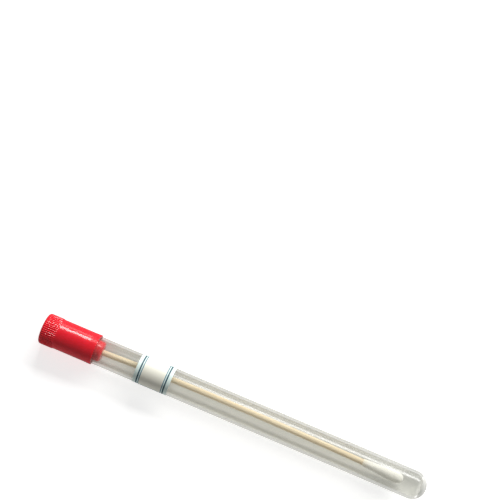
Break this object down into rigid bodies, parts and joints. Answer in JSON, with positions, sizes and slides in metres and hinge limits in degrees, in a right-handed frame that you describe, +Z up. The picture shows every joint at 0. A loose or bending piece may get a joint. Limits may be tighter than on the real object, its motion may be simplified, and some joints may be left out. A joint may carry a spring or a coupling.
{
  "type": "specimen swab tube",
  "caption": "Frosted round-bottomed plastic tube with a ribbed push-on cap whose stem holds a wooden, cotton-tipped swab, for taking and carrying a specimen.",
  "frame": {"origin": "on the surface that the tube lies on, under the middle of its length and under its axis", "axes": "+X along the tube, from the cap's closed end towards the round bottom, level with the surface that it lies on; +Z up. The tube's own axis slopes down along +X by 0.26 degrees, because the cap is wider than the tube and both rest on the surface"},
  "size_m": [0.1726, 0.0134, 0.0135],
  "materials": {
    "frosted_polypropylene": "moulded, frosted, see-through",
    "label_paper": "smooth white paper with a double blue border",
    "red_polyethylene": "moulded, soft gloss",
    "birch": "turned, bare",
    "cotton": "wound cotton fibre"
  },
  "bodies": {
    "tube_body": {"tube": "frosted_polypropylene", "label": "label_paper"},
    "swab": {"cap": "red_polyethylene", "swab_stick": "birch", "cotton_bud": "cotton"}
  },
  "joints": [
    {"name": "swab_pull", "type": "slide", "parent": "tube_body", "child": "swab", "axis": [-1, 0, 0.0046], "range_m": [0, 0.16]}
  ]
}
